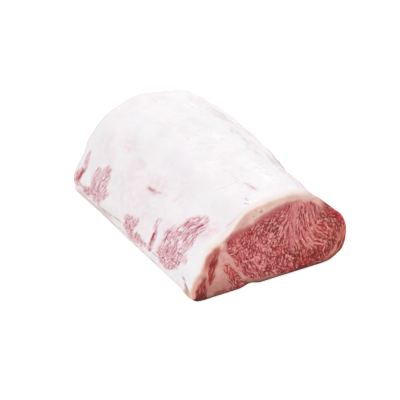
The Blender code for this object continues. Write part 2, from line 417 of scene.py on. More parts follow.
SWELLS = (  # broad rises and hollows of the skin: middle, half sizes, millimetres outwards
    ((427, 215), (14, 50), -3.6), ((430, 100), (12, 60), -1.0), ((431, 33), (12, 14), -1.2),
    ((411, 261), (14, 8), 2.2), ((188, 205), (24, 38), 1.8), ((215, 165), (22, 50), 0.8),
    ((178, 116), (18, 18), -1.4), ((172, 84), (16, 12), 1.5), ((335, 258), (45, 16), -1.3),
    ((245, 257), (16, 14), -1.0), ((125, 0), (38, 26), -1.2),
)
WRINKLED = (  # where the skin lies in fine folds: middle, half sizes, turn, strength
    ((268, 130), (30, 100), 0, 1.0), ((300, 190), (24, 50), 0, 0.6), ((330, 150), (30, 80), 0, 0.35),
    ((245, 60), (20, 50), 0, 0.8), ((225, 180), (22, 70), 0, 1.0), ((395, 150), (24, 110), 0, 0.4),
    ((350, 40), (30, 40), 0, 0.25),
)
SKIN_SPECKS = ((305.8, 8.2, 0.9), (306.5, 10.5, 0.9), (299.4, 17, 0.9), (300.5, 14.5, 0.9))  # small dark dots


def lens(points, middle, half, turn):
    """Distance outside an ellipse, roughly, in millimetres: below nought inside."""
    a = math.radians(turn)
    d = points - np.array(middle, float)
    u = (d[..., 0] * math.cos(a) + d[..., 1] * math.sin(a)) / half[0]
    v = (-d[..., 0] * math.sin(a) + d[..., 1] * math.cos(a)) / half[1]
    return (np.hypot(u, v) - 1) * min(half)


def stroke(points, a, b):
    """Signed distance across a straight stroke, and how far along it each point is (0 to 1, beyond it less or more)."""
    a, b = np.array(a, float), np.array(b, float)
    way = (b - a) / np.linalg.norm(b - a)
    d = points - a
    along = d @ way
    t = along / np.linalg.norm(b - a)
    off = np.maximum(np.maximum(-along, along - np.linalg.norm(b - a)), 0)
    across = d[..., 0] * -way[1] + d[..., 1] * way[0]
    return np.copysign(np.hypot(across, off), across), t


def within(points, outline):
    """Distance inside a closed outline, in millimetres: below nought outside."""
    outline = np.array(outline, float)
    near = np.full(points.shape[:-1], 1e9)
    odd = np.zeros(points.shape[:-1], bool)
    for a, b in zip(outline, np.roll(outline, -1, axis=0)):
        near = np.minimum(near, abs(stroke(points, a, b)[0]))
        over = (a[1] > points[..., 1]) != (b[1] > points[..., 1])
        rise = b[1] - a[1] if b[1] != a[1] else 1e-9
        odd ^= over & (points[..., 0] < (b[0] - a[0]) * (points[..., 1] - a[1]) / rise + a[0])
    return np.where(odd, near, -near)


def wavering(places, sizes, seed, turn=0.0):
    """A soft noise over the skin, the same for every piece; its first size lies so many degrees from the round."""
    rng = np.random.default_rng(seed)
    u, v = places[..., 0], places[..., 1]
    step, count = 1.5, (int(LENGTH / 1.5) + 2, int(GIRTH / 1.5))
    if turn:
        step = max(0.6, min(sizes) / 2.2)
        count = (int(1000 / step), int(1000 / step))
        c, s = math.cos(math.radians(turn)), math.sin(math.radians(turn))
        u, v = u * c + v * s + 200, v * c - u * s + 560
    n = soften(soften(rng.standard_normal(count), sizes[1] / step, 0), sizes[0] / step, 1, wrap=not turn)
    return read_grid(n / n.std(), u / step, v / step, goes_round=True)  # round the skin, or on a grid of its own


def thin_fat(places):
    """How much lean shows through the skin, 0 to 1."""
    points = places + 1.6 * together(wavering(places, (4, 4), 32), wavering(places, (4, 4), 33))
    out = np.full(points.shape[:-1], -9.0)
    for outline in THIN_FAT:
        out = np.maximum(out, within(points, outline))
    for a, b, wide, thin in THIN_HOOKS:
        across, t = stroke(points, a, b)
        out = np.maximum(out, wide + (thin - wide) * np.clip(t, 0, 1) - abs(across))
    return ease(out + 1.4 * wavering(places, (4.0, 1.3), 31, 15.0), -2.0, 3.0)


def patchy(points, spots, edge=0.6):
    """How strongly soft oval patches cover each place."""
    out = np.zeros(points.shape[:-1])
    for middle, half, turn, *strength in spots:
        d = 1 + lens(points, middle, half, turn) / min(half)
        out = np.maximum(out, (strength or [1.0])[0] * fade(d, 1 - edge, 1 + edge))
    return out


def skin_lines(points):
    """The nearest drawn line to each place: signed distance across it, its red, its tan and its groove."""
    best = np.full(points.shape[:-1], 99.0)
    red, tan, depth = (np.zeros(points.shape[:-1]) for _ in range(3))
    broken = 0.4 + 0.6 * ease(wavering(points, (7, 5), 48), -0.9, 0.5)
    for line, width, r, t, deep in SKIN_LINES:
        for k in range(len(line) - 1):
            across, at = stroke(points, line[k], line[k + 1])
            across = across / width
            part = (k + np.clip(at, 0, 1)) / (len(line) - 1)
            ends = ease(part, -0.02, 0.22) * ease(1 - part, -0.02, 0.22)
            ends = ends * (broken if t < 0.5 and r < 0.2 else 1.0)
            nearer = abs(across) < abs(best)
            best = np.where(nearer, across, best)
            red, tan, depth = (np.where(nearer, v * ends, old) for v, old in ((r, red), (t, tan), (deep, depth)))
    return best, red, tan, depth


# ---------------------------------------------------------------- marbling on the cuts

GRAIN = (  # which way the marbling runs on the front cut: x, z, degrees, length of its strokes
    (39, 69, 96, 2.5), (50, 71, 99, 3), (43, 56, 5, 4), (44, 43, 121, 3.5), (57, 26, 128, 4), (49, 25, 122, 4),
    (61, 58, 96, 2), (68, 71, 69, 2.5), (92, 77, 44, 2.5), (103, 79, 56, 2.5), (79, 53, 134, 2), (99, 19, 104, 2.5),
    (87, 17, 112, 2.5), (108, 35, 100, 1.5), (79, 13, 137, 3), (64, 12, 134, 3), (38, 22, 125, 3), (89, 43, 95, 1.5),
    (118, 79, 72, 9), (115, 55, 93, 9), (127, 76, 108, 8), (133, 60, 114, 9), (140, 64, 112, 7), (127, 57, 104, 9),
    (132, 42, 127, 7), (141, 43, 113, 8), (149, 31, 142, 6), (128, 34, 113, 6), (152, 60, 142, 2.2),
    (163, 45, 129, 3), (172, 30, 111, 2.5), (167, 18, 44, 4), (156, 18, 88, 3), (141, 16, 109, 2.5),
    (122, 23, 100, 2.5), (168, 60, 124, 1.8), (177, 49, 111, 2.2), (142, 4, 176, 2.5), (12, 40, 66, 9),
    (20, 58, 58, 8), (2, 14, 70, 8), (184, 34, 75, 8),
)
VEINS = (  # the broader veins of fat on the front cut: points, half width, strength
    (((123, 94), (127.5, 86), (128, 76)), 1.5, 1.5), (((70.6, 55.8), (78, 47.5), (85.3, 41.4)), 1.1, 1.0),
    (((86.5, 52.3), (87.5, 41.5)), 1.3, 1.1), (((95.3, 70.3), (102.7, 65.1)), 1.4, 1.0),
    (((59.6, 36.2), (72.5, 35.8), (78.3, 35.4)), 1.2, 1.1), (((89.5, 22.7), (95.7, 9.3)), 0.9, 0.9),
    (((72.8, 21.3), (77.1, 22.2)), 1.8, 0.7), (((108.4, 26.5), (113, 19.7)), 0.9, 0.9),
    (((48.2, 32.4), (51.9, 26.7)), 1.2, 0.8), (((39.4, 57.5), (50.7, 56.9)), 0.9, 0.8),
    (((71.5, 79.1), (74.5, 70.1)), 0.9, 0.7), (((66.1, 67.6), (67.7, 58.2)), 0.9, 0.9),
    (((89, 63.4), (87, 58.1)), 1.1, 0.9), (((99.3, 57.2), (103.6, 58.8)), 1.7, 1.0),
    (((57.9, 50.9), (61, 36.5)), 0.9, 0.8), (((118.5, 88), (118.7, 75.4), (115.6, 67.4)), 1.2, 0.9),
    (((128.2, 75.3), (136.9, 64.3), (140.6, 58.3)), 0.9, 0.8), (((141.4, 55.3), (150.1, 46.3)), 2.2, 0.9),
    (((132, 50.5), (137.9, 40.9), (148, 32.1), (153.9, 27.4)), 1.1, 1.2),
    (((125.2, 65.1), (129.1, 52.8), (138.2, 35.2), (144, 29.8)), 0.8, 0.8),
    (((153.4, 36.8), (153.8, 28.1)), 1.0, 0.9), (((156.7, 54.1), (167.3, 38.8)), 0.9, 1.0),
    (((143.4, 56.8), (159.2, 60.3)), 1.0, 0.8), (((158.7, 29.4), (157.2, 17), (158.9, 10.7)), 1.2, 1.0),
    (((114.4, 25.7), (116.5, 7.2)), 0.9, 0.9), (((108.1, 29.8), (113.8, 23)), 0.8, 0.8),
    (((118.1, 56.2), (118.2, 35.1)), 1.0, 0.6), (((125.1, 49.8), (131.9, 36.4)), 0.8, 0.9),
    (((136.4, 75.6), (142.5, 61.2)), 0.7, 0.7),
)
WHOLE_LEAN = (  # where the lean shows dark and unbroken: x, z, size, strength
    (37, 66, 4.0, 1.0), (96, 64, 2.4, 0.9), (82, 51, 2.2, 0.8), (93, 40, 2.4, 1.0), (112, 31, 3.0, 1.0),
    (65, 40, 2.6, 0.8), (84, 72, 2.6, 0.7), (62, 70, 2.4, 0.7), (106, 64, 2.0, 0.8), (147, 38, 3.6, 0.9),
    (119, 23, 2.0, 1.1), (142, 17, 3.0, 0.9), (149, 19, 2.6, 0.9), (166, 29, 3.0, 1.0), (163, 15, 3.0, 0.9),
    (172, 33, 2.2, 0.8), (151, 26, 2.4, 0.9), (129, 43, 1.5, 0.8), (128, 8, 3.0, 0.8), (35, 57, 2.5, 0.5),
)
RASTER = 0.4  # millimetres a cell


class Marbling:
    """Fat and lean on one cut, as fields over x and z."""

    def __init__(self, grain, seed, left=-36.0, right=198.0, low=-6.0, high=124.0):
        self.left, self.low = left, low
        self.gx, self.gz = np.meshgrid(np.arange(left, right, RASTER), np.arange(low, high, RASTER))
        self.rng = np.random.default_rng(seed)
        self.flow(grain)

    def sample(self, field, x, z):
        return read_grid(field, (x - self.left) / RASTER, (z - self.low) / RASTER)

    def blur(self, a, size):
        fy, fx = np.fft.fftfreq(a.shape[0])[:, None], np.fft.rfftfreq(a.shape[1])[None, :]
        return np.fft.irfft2(np.fft.rfft2(a) * np.exp(-2 * (np.pi * size / RASTER) ** 2 * (fx**2 + fy**2)), s=a.shape)

    def band(self, fine, coarse):
        n = self.rng.standard_normal(self.gx.shape)
        n = self.blur(n, fine) - self.blur(n, coarse)
        return n / n.std()

    def cloud(self, size):
        n = self.blur(self.rng.standard_normal(self.gx.shape), size)
        return (n - n.mean()) / n.std()

    def flow(self, grain):
        """Blends the grain's directions, and lets them wander where the strokes are short."""
        c = s = length = total = 0.0
        for x, z, turn, stroke_length in grain:
            d2 = (self.gx - x) ** 2 + (self.gz - z) ** 2
            w = np.exp(-d2 / (2 * 6.5**2)) + 1e-5 / (1 + d2 / 100)
            c, s = c + w * math.cos(math.radians(2 * turn)), s + w * math.sin(math.radians(2 * turn))
            length, total = length + w * stroke_length, total + w
        self.length = length / total
        turn = 0.5 * np.arctan2(s, c) + math.radians(24) * self.cloud(2.4) * np.clip(3.0 / self.length, 0.15, 1)
        self.dx, self.dz = np.cos(turn), np.sin(turn)

    def drawn(self, noise, length, steps=14):
        """Smears a noise along the grain, then evens its strength."""
        total, weight = noise.copy(), 1.0
        for side in (1, -1):
            x, z, ux, uz = self.gx.copy(), self.gz.copy(), self.dx * side, self.dz * side
            for k in range(1, steps + 1):
                x, z = x + ux * length * 2.2 / steps, z + uz * length * 2.2 / steps
                w = math.exp(-0.5 * (k * 2.2 / steps) ** 2)
                total, weight = total + w * self.sample(noise, x, z), weight + w
                nx, nz = self.sample(self.dx, x, z), self.sample(self.dz, x, z)
                flip = np.where(nx * ux + nz * uz < 0, -1.0, 1.0) / (np.hypot(nx, nz) + 1e-9)
                ux, uz = nx * flip, nz * flip
        out = total / weight
        out = out - self.blur(out, 8)
        return out / np.sqrt(np.maximum(self.blur(out**2, 8), 1e-9))

    def near(self, lines, wander):
        """How near each place is to a set of wandering lines, each with a half width and a strength."""
        best = np.zeros(self.gx.shape)
        for points, width, strength in lines:
            for (ax, az), (bx, bz) in zip(points[:-1], points[1:]):
                px, pz = self.gx + wander[0] - ax, self.gz + wander[1] - az
                run = (bx - ax) ** 2 + (bz - az) ** 2 + 1e-9
                t = np.clip((px * (bx - ax) + pz * (bz - az)) / run, 0, 1)
                d2 = (px - t * (bx - ax)) ** 2 + (pz - t * (bz - az)) ** 2
                best = np.maximum(best, strength * np.exp(-d2 / width**2))
        return best

    def grow(self, veins, spots, marks):
        """The fat's field (above nought it is fat, below it lean), the lean's redness, and how milky a place is."""
        wander = self.cloud(1.6), self.cloud(1.6)
        pale = self.near(veins, wander)
        dots = [(((x, z), (x, z)), size, strength) for x, z, size, strength in spots]
        whole = self.near(dots, [1.5 * w for w in wander])
        long = ease(self.length, 3.5, 6.5)
        net = 1.0 - 1.7 * abs(self.drawn(self.band(0.7, 2.1), self.length * 0.45))
        field = 0.7 * self.drawn(self.band(0.3, 0.8), self.length * (0.45 + 0.35 * long))
        field += (0.62 + 0.1 * long) * self.drawn(self.band(0.5, 1.4), self.length * (0.55 + 0.3 * long))
        field += 0.6 * (1 - 0.5 * long) * net
        field -= 0.5 * (1 - 0.7 * long) * np.maximum(self.cloud(1.1) - 0.3, 0)
        field += 0.18 * self.cloud(4)
        # low is painted shade: it thins the fat and takes the red from the lean at the cut's lower right
        seam, dull, grey, low, bright = marks(self.gx, self.gz)
        field = field * (1 - 0.35 * seam - 0.7 * dull - 0.6 * grey)
        field = field + 0.1 + 0.95 * seam - 0.75 * dull + 1.7 * pale - 1.1 * whole - 0.5 * low + 0.1 * grey
        self.field = field + 0.45 * bright
        self.red = ease(self.cloud(0.8) + 0.7 * self.cloud(4) - 1.2 * whole - 0.9 * low + 0.5 * dull, -1.6, 1.6)
        self.field += 0.75 * long * (1 - seam) * np.clip(self.drawn(self.band(0.9, 2.4), self.length * 0.8), -1.2, 1.4)
        self.milky = np.clip(0.4 * grey + 0.5 * seam + 0.55 * dull, 0, 1)
        return self


def front_marks(x, z):
    """The eye's pale seam, the dull band under the cover fat, its grey top, its lower right and right edge painted
    darker as shade, and its brighter middle.
    """
    seam = bell(x, 114.8 + 4.0 * ease(z, 40, 95), 2.2 + 2.6 * ease(z, 62, 96)) * ease(z, 26, 36)
    under = np.interp(x, (36, 66, 100, 112), (69, 83, 91, 92))
    dull = bell(z, under, 4.0) * ease(x, 32, 40) * ease(-x, -112, -100)
    # painted shade: the lower right and the right edge of the front cut
    low = np.maximum(ease(x, 104, 134) * fade(z, 18, 44), 0.6 * ease(x, 150, 172))
    bright = mound(x, z, (90, 54), (16, 16)) + 0.3 * mound(x, z, (48, 50), (14, 18))
    return seam, dull, mound(x, z, (149, 76), (13, 9)), low, bright


def back_marks(x, z):
    seam = bell(x, 104 + 0.12 * z, 3.0) * ease(z, 40, 60)
    # painted shade at the lower right of the back cut
    low = ease(x, 100, 150) * ease(-z, -40, -15)
    return seam, 0.5 * bell(x, 38, 5), mound(x, z, (150, 78), (16, 12)), low, mound(x, z, (80, 56), (20, 16))


# ---------------------------------------------------------------- the block and its parting


def rim_at(z):
    return RIM * (RIM_AT_BOARD + (1 - RIM_AT_BOARD) * ease(z, 0.0, 22.0))


def worn(depth, r):
    """How far a rounded edge of radius r falls back, so deep inside it: a short bevel, then an arc."""
    arc = r - np.sqrt(np.maximum(r * r - np.maximum(r - depth, 0) ** 2, 0))
    return np.where(depth < BEVEL * r, 2 * BEVEL * r - depth, arc)


def off_line(points, line):
    """Signed distance across a line through several points, to the nearest of its stretches."""
    best = np.full(points.shape[:-1], 99.0)
    for a, b in zip(line[:-1], line[1:]):
        across, _ = stroke(points, a, b)
        best = np.where(abs(across) < abs(best), across, best)
    return best


def skin_relief(skin, rows):
    """The trimmed fat's bumps, wrinkles, grooves and thin places, in millimetres outwards over the skin grid."""
    places = together(*np.broadcast_arrays((skin_columns() * GIRTH)[None, :], rows[:, None]))
    z = skin[:, :, 1]

    def wave(height, sizes, seed, turn=0.0):
        return height * wavering(places, sizes, seed, turn)

    relief = wave(0.26, (14, 20), 11) + wave(0.2, (5.5, 6), 12) + wave(0.1, (2.4, 3), 13)
    pulled = patchy(places, WRINKLED) * (0.6 + 0.4 * np.tanh(wave(1, (9, 12), 16)))
    relief += pulled * (wave(0.09, (9, 1.5), 14, 28.0) + wave(0.13, (5, 2.4), 15, 46.0))
    relief += thin_fat(places) * (-0.55 + wave(0.3, (9.0, 1.25), 17, 15.0))
    across, _, _, depth = skin_lines(places)
    relief -= depth * np.exp(-(across**2) / 1.6)
    step = off_line(places, RIDGE)
    relief += 0.45 * np.tanh(step / 1.3) * np.exp(-abs(step) / 9.0)
    hem = bell(places[..., 0], 425, 3.0) * (0.5 + 0.5 * np.tanh(wave(1, (3, 5), 18)))
    lip = fade(lens(places, (437, 12), (6, 15), 0), -4.0, 1.0)
    relief = relief * ease(z, 1.0, 12.0) + 0.7 * hem * ease(z, 0.3, 2.0) + 1.5 * lip * ease(z, 0.2, 2.5)
    for middle, half, height in SWELLS:
        relief += height * mound(places[..., 0], places[..., 1], middle, half) * ease(z, 0.5, 4.0)
    return relief


def outer_block(skin, rows, relief):
    z = skin[:, :, 1]
    depth = np.minimum(rows, LENGTH - rows)[:, None] + 0 * z
    placed = skin + outward(skin) * (relief - worn(depth, rim_at(z)))[:, :, None]
    standing = np.maximum(placed[:, :, 1], np.minimum(z, 0.6))
    placed[:, :, 1] = np.where(z < 3, standing, placed[:, :, 1])
    return placed


class Cut:
    """One of the two straight cuts: its outline, how deep inside it each place is, and how near its underside."""

    def __init__(self, ring):
        self.ring = even_ring(ring, CUT_POINTS)
        self.normal = outward(self.ring)
        self.tree = tree_of([(x, 0, z) for x, z in self.ring])

    def heights(self, xs, zs):
        gx, gz = np.meshgrid(xs, zs)
        points = together(gx.ravel(), gz.ravel())
        at = np.array([self.tree.find((x, 0, z))[1] for x, z in points])
        depth = -np.sum((points - self.ring[at]) * self.normal[at], axis=1)
        fall = worn(depth, rim_at(self.ring[at, 1])) - CUT_DOME * (1 - np.exp(-np.maximum(depth, 0) / 12.0))
        return (a.reshape(gx.shape) for a in (fall, depth, -self.normal[at, 1]))


def lean_tube(name, count, skin, rows):
    """A muscle as a closed tube that runs out past both cuts, and out through the skin where it lies bare."""
    levels = np.concatenate([[4.0], np.arange(12.0, LENGTH - 8.0, 8.0), [LENGTH - 4.0]])
    rings = lean_rings(name, count, levels)
    size = np.linalg.norm(np.diff(rings, axis=1), axis=2).mean()
    rings = smooth(rings, 2.2 / size, 1, wrap=True)
    rng = np.random.default_rng(sum(map(ord, name)))
    wave = soften(soften(rng.standard_normal(rings.shape[:2]), 3.0, 0), 3.2 / size, 1, wrap=True)
    wave *= 0.45 / wave.std()
    out = outward(rings)
    for i, y in enumerate(levels):
        k = int(np.argmin(abs(rows - y)))
        ring = even_ring(skin[k], SKIN_POINTS)
        normal = outward(ring)
        gap = np.linalg.norm(rings[i][:, None, :] - ring[None, ::2, :], axis=2)
        at = gap.argmin(axis=1) * 2
        deep = -np.sum((rings[i] - ring[at]) * normal[at], axis=1)
        bare = soften(fade(deep, 1.0, 2.4), 1.2, 0, wrap=True)
        rings[i] += out[i] * (SLACK + wave[i] * (1 - bare))[:, None] + normal[at] * (BARE_REACH * bare)[:, None]
    lean_outlines[name] = rings[0], rings[-1]
    rings = np.concatenate([rings[:1], rings, rings[-1:]])
    return solid(name + "_tube", rings, np.concatenate([[-OVERHANG], levels, [LENGTH + OVERHANG]]))


lean_outlines = {}
TUBE_POINTS = {"eye_muscle": 300, "chine_muscle": 150, "flank_muscle": 150, "tail_muscle": 200, "skirt_muscle": 120}

skin, rows = skin_rings()
relief = skin_relief(skin, rows)
block = outer_block(skin, rows, relief)
front = Cut(block[list(rows).index(RIM)])
back = Cut(block[list(rows).index(LENGTH - RIM)])
xs = np.arange(block[:, :, 0].min() - 3, block[:, :, 0].max() + 3, CUT_STEP)
zs = np.arange(-3.0, block[:, :, 1].max() + 3, CUT_STEP)
front_fall, front_deep, front_under = front.heights(xs, zs)
back_fall, back_deep, back_under = back.heights(xs, zs)

whole = solid("whole_skin", block, rows)
sliced = slab("two_cuts", xs, zs, front_fall, LENGTH - back_fall)
tubes = {name: lean_tube(name, count, block, rows) for name, count in TUBE_POINTS.items()}
pieces = {name: parted(name + "_meat", sliced, [("INTERSECT", tubes[name]), ("INTERSECT", whole)]) for name in LEANS}
pieces["fat_cap"] = parted("fat_cap_meat", sliced, [("INTERSECT", whole)] + [("DIFFERENCE", tubes[n]) for n in LEANS])
drop(whole, sliced, *tubes.values())


# ---------------------------------------------------------------- what each place on a piece is


def facing_cut(mesh):
    """How squarely the faces at each vertex lie along a cut: the best of them counts."""
    normal = read_out(mesh.polygons, "normal", width=3).reshape(-1, 3)
    corners, totals = read_out(mesh.loops, "vertex_index", np.int32), read_out(mesh.polygons, "loop_total", np.int32)
    facing = np.zeros(len(mesh.vertices))
    np.maximum.at(facing, corners, np.repeat(abs(normal[:, 1]), totals))
    return facing


def mark(obj, **marks):
    """Stores values on a piece's corners, for its material."""
    for title, values in marks.items():
        values = np.asarray(values, dtype=np.float32)
        kind, field = ("FLOAT", "value") if values.ndim == 1 else ("FLOAT_VECTOR", "vector")
        obj.data.attributes.new(title, kind, "POINT").data.foreach_set(field, values.ravel())


class Place:
    """Where each corner of a piece lies: on which cut, how deep inside its outline, and the skin's nearest place."""

    def __init__(self, obj):
        self.p = places_of(obj.data)
        self.flat = self.p[:, (0, 2)]
        self.front = self.p[:, 1] < LENGTH / 2
        near_cut = np.where(self.front, self.p[:, 1], LENGTH - self.p[:, 1]) < RIM * 1.2
        facing = facing_cut(obj.data)
        self.cut = ease(facing, 0.45, 0.85) * near_cut
        self.turned = ease(facing, 0.06, 0.5) * near_cut
        self.deep = self.read(front_deep, back_deep)
        self.under = self.read(front_under, back_under)
        # painted contact shade: the cut's foot is painted dark where it meets the board, fading inwards from the
        # outline
        inward = 1 - 0.65 * ease(self.deep, 1.4, 3.0) - 0.35 * ease(self.deep, 2.5, 7.0)
        self.contact_shade = self.cut * ease(self.under, 0.3, 0.8) * inward
        at = np.array([skin_tree.find(q)[1] for q in self.p])
        self.skin = together(skin_columns()[at % ROUND_POINTS] * GIRTH, rows[at // ROUND_POINTS])
        self.round, self.along = self.skin.T

    def read(self, front_grid, back_grid):
        u, v = ((self.flat - (xs[0], zs[0])) / CUT_STEP).T
        return np.where(self.front, read_grid(front_grid, u, v), read_grid(back_grid, u, v))

    def on_skin(self):
        return together(self.round, self.along, 0 * self.along) * 0.001


def gap_to(place, *names):
    """Distance on the cuts from each place to the nearest of these muscles' outlines, in millimetres."""
    trees = []
    for side in (0, 1):
        outlines = [even_ring(lean_outlines[n][side], SEAM_POINTS) for n in names]
        trees.append(tree_of([(x, 0, z) for x, z in np.concatenate(outlines)]))
    return np.array([trees[0 if front else 1].find((x, 0, z))[2] for (x, z), front in zip(place.flat, place.front)])


skin_tree = tree_of(together(block[:, :, 0], np.repeat(rows[:, None], ROUND_POINTS, 1), block[:, :, 1]).reshape(-1, 3))


def back_marbling():
    """The other cut of the same muscles: the same grain a little turned, with veins of its own."""
    rng = np.random.default_rng(5)
    grain = [((x - 80) * 1.12 + 72, z * 1.12, turn + 7, length) for x, z, turn, length in GRAIN]
    veins, spots = [], []
    for x, z, turn, _ in grain:
        way = math.radians(turn + rng.normal(0, 12))
        x, z, reach = x + rng.normal(0, 5), z + rng.normal(0, 5), rng.uniform(3, 7)
        run = ((x, z), (x + reach * math.cos(way), z + reach * math.sin(way)))
        veins.append((run, rng.uniform(0.8, 1.6), rng.uniform(0.6, 1.1)))
        spots.append((x + rng.normal(0, 9), z + rng.normal(0, 9), rng.uniform(1.8, 3.4), rng.uniform(0.6, 1.0)))
    return Marbling(grain, 8).grow(veins, spots, back_marks)


on_front = Marbling(GRAIN, 9).grow(VEINS, WHOLE_LEAN, front_marks)
on_back = back_marbling()


def on_cut(place, kind):
    fields = (marbling.sample(getattr(marbling, kind), *place.flat.T) for marbling in (on_front, on_back))
    return np.where(place.front, *fields)


def pillow(obj, place, gap, swell, groove):
    """Raises a cut surface a little, and lets it fall to a shallow groove at the seams."""
    rise = (swell * (1 - np.exp(-gap / 3.0)) - groove * np.exp(-gap / 1.2)) * place.cut * ease(place.deep, 0.5, 4.0)
    co = (place.p + FOOT) * 0.001
    co[:, 1] += np.where(place.front, -rise, rise) * 0.001
    obj.data.vertices.foreach_set("co", co.ravel())
    obj.data.update()


def layers(place):
    """The thin layers that run alongside the eye's edge, in the chine muscle and the fat before it."""
    return wavering(together(gap_to(place, "eye_muscle"), place.p[:, 2]), (0.65, 9), 44, 0.01)


LEAN_TURN = 74.0  # the fibres of the flank and the skirt, from the board
STRIPS = {  # how much leaner than the eye, least redness, heights between which fat closes over it, how strongly
    "flank_muscle": (1.0, 0.25, (54, 66), 0.7),
    "skirt_muscle": (1.25, 0.05, (26, 35), 0.9),
}
BROWNED = {"tail_muscle": 0.3, "flank_muscle": 0.1, "skirt_muscle": 0.4}


def dress_lean(obj, name):
    place = Place(obj)
    own = gap_to(place, name)
    x, y, z = place.p.T
    pillow(obj, place, own, 0.2, 0.05)
    ragged, high = wavering(place.flat, (2, 2), 41, 30.0), ease(z, 5.0, 22.0)
    field, redness = on_cut(place, "field"), on_cut(place, "red")
    border = 0.5 * fade(own + 0.5 * ragged, 0.1, 1.5)
    # foot: painted contact shade at the board
    tip, brown, foot = 0 * x, BROWNED.get(name, 1.0), np.maximum(place.contact_shade, 0)
    if name in STRIPS:
        leaner, least_red, closing, strength = STRIPS[name]
        field = 0.3 * field + 0.6 * wavering(place.flat, (9, 2.2), 45, LEAN_TURN) - leaner
        redness = least_red + 0.5 * redness
        soft = fade(place.deep + 0.6 * ragged, 0.5 + 0.9 * high, 3.2 + 1.7 * high)
        soft = np.maximum(soft, ease(z + 1.5 * ragged, *closing))
        border = np.maximum(border, strength * soft * ease(z, 1, 9))
    if name == "eye_muscle":
        field = field - 0.9 * ease(x, 144, 156) * ease(z, 42, 52) * fade(place.deep, 2, 9)
        tip = fade(place.deep, 5.5, 8.5) * fade(x + 0.5 * place.deep, 149, 160) * ease(x, 122, 126) * ease(z, 60, 70)
        tip = tip * np.maximum(place.cut, fade(y, 6, 16)) * place.front
        higher = 34 * ease(x, 120, 160)
        brown = 0.4 * ease(x, 84, 134) * fade(z, 22 + higher, 44 + higher)
    elif name == "chine_muscle":
        field = 0.6 * field + 1.1 * layers(place) - 0.2
        border = np.maximum(border, 0.8 * fade(gap_to(place, "eye_muscle") + 1.2 * ragged, 1.5, 4.5))
    elif name == "flank_muscle":
        tip = ease(z + 1.2 * ragged, 60, 67)
    elif name == "skirt_muscle":
        tip = np.maximum(0.5 * ease(z + 1.2 * ragged, 28, 35), 0.8 * fade(place.deep + ragged, 1.0, 4.5)) * high
        # the skirt's lower part painted near black: its own dark red, with painted contact shade
        foot = np.maximum(foot, 0.9 * fade(z, 1.0, 17.0) * place.cut)
    rim = ease(x, 144, 156) * ease(z, 41, 50) * (0.12 + 0.88 * fade(z, 60, 73)) * fade(y, 2.5, 6.0)
    spots = 0.3 + 0.7 * ease(wavering(together(y, z), (1.2, 2.2), 43, 0.01), -0.2, 0.9)
    c, s = math.cos(math.radians(LEAN_TURN)), math.sin(math.radians(LEAN_TURN))
    mark(
        obj,
        cut=place.cut,
        skin_place=place.on_skin(),
        foot=foot,
        fat_field=field,
        streak_place=together(x * c + z * s, z * c - x * s, y) * 0.001,
        streaked=np.full(len(x), float(name in STRIPS)),
        cover=(1 - place.cut) * ease(place.round + 3.0 * wavering(place.skin, (4, 7), 46), 146, 162),
        tip=tip,
        brown=place.cut * brown,
        redness=np.where(place.cut > 0, redness, ease(wavering(place.skin, (7, 16), 22), -1.8, 1.8)),
        milky=on_cut(place, "milky"),
        film=ease(wavering(place.skin, (5, 14), 21), *((-1.6, 0.7) if name == "chine_muscle" else (-0.8, 1.2))),
        border=border * place.cut,
        wet=spots * rim * fade(place.deep + 1.3 * ragged, 1.0, 4.0 + 2.5 * bell(z, 54, 9)),
    )


FOLD_SHADE_LINE = ((56, 78), (68, 82), (80, 89), (95, 93), (111, 94))  # the crease between the outer and the inner cover fat, painted as a darker line of shade
CUT_SPECKS = ((75, 94, 1.3), (65, 91, 0.7))


def dots(points, spots):
    """1 in the middle of small round spots, falling off over their radius."""
    x, y = points.T
    return np.max([np.exp(-(((x - a) ** 2 + (y - b) ** 2) / r**2)) for a, b, r in spots], axis=0)


def bareness(place):
    """How near the bare lean of the chine side lies."""
    bare = [q for n in ("eye_muscle", "chine_muscle") for q in places_of(pieces[n].data)]
    tree = tree_of([q for q in bare if 3 < q[1] < LENGTH - 3 and q[0] > 110])
    at_side = (place.round > 60) & (place.round < 250)
    return [1 - min(tree.find(q)[2] / 8.0, 1.0) if side_on else 0.0 for q, side_on in zip(place.p, at_side)]


